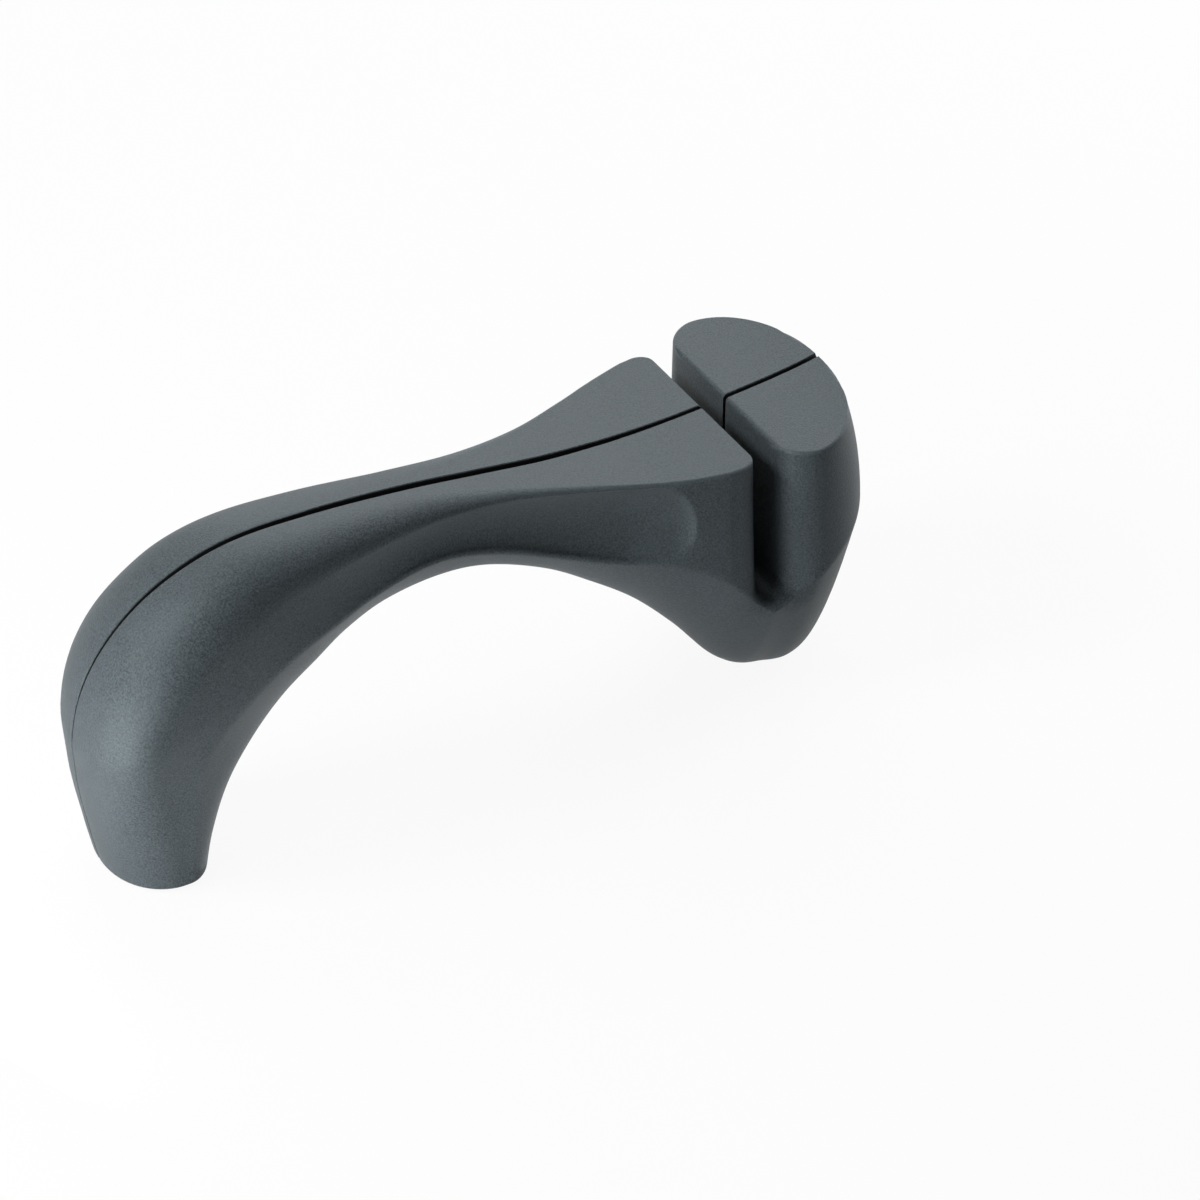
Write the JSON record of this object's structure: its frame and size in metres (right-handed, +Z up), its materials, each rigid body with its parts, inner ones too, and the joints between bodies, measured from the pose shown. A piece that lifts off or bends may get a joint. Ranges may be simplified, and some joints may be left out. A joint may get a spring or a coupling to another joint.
{
  "type": "knife sharpener",
  "caption": "Arched hand-held knife sharpener with a waisted, scooped handle, padded feet and a cross slot in its head where ceramic wheels hone the blade.",
  "frame": {"origin": "on the table, under the middle of the body", "axes": "+X along the body from the plain leg to the nose beyond the knife slot, +Y to the rear shell along the knife slot, +Z up"},
  "size_m": [0.1774, 0.0576, 0.0702],
  "materials": {
    "shell_grey": "dark blue-grey moulded plastic with a fine satin grain",
    "inner_black": "black moulded plastic",
    "ceramic": "off-white fired ceramic, fine and dull",
    "bright_steel": "plain bright steel",
    "pad_rubber": "black rubber"
  },
  "bodies": {
    "casing": {"front_shell": "shell_grey", "rear_shell": "shell_grey", "wheel_cradle": "inner_black", "left_foot_pad": "pad_rubber", "right_foot_pad": "pad_rubber", "shell_screw_1": "bright_steel", "shell_screw_2": "bright_steel", "shell_screw_3": "bright_steel", "shell_screw_4": "bright_steel", "shell_screw_5": "bright_steel"},
    "left_roller": {"left_axle": "bright_steel", "left_wheel_1": "ceramic", "left_wheel_2": "ceramic", "left_wheel_3": "ceramic", "left_wheel_4": "ceramic", "left_spacer_1": "inner_black", "left_spacer_2": "inner_black", "left_spacer_3": "inner_black"},
    "right_roller": {"right_axle": "bright_steel", "right_wheel_1": "ceramic", "right_wheel_2": "ceramic", "right_wheel_3": "ceramic", "right_spacer_1": "inner_black", "right_spacer_2": "inner_black", "right_spacer_3": "inner_black", "right_spacer_4": "inner_black"}
  },
  "joints": [
    {"name": "left_roller_turn", "type": "hinge", "parent": "casing", "child": "left_roller", "pos_m": [0.05039, 0, 0.03343], "axis": [0, 1, 0], "continuous": true},
    {"name": "right_roller_turn", "type": "hinge", "parent": "casing", "child": "right_roller", "pos_m": [0.06621, 0, 0.03343], "axis": [0, 1, 0], "continuous": true}
  ]
}
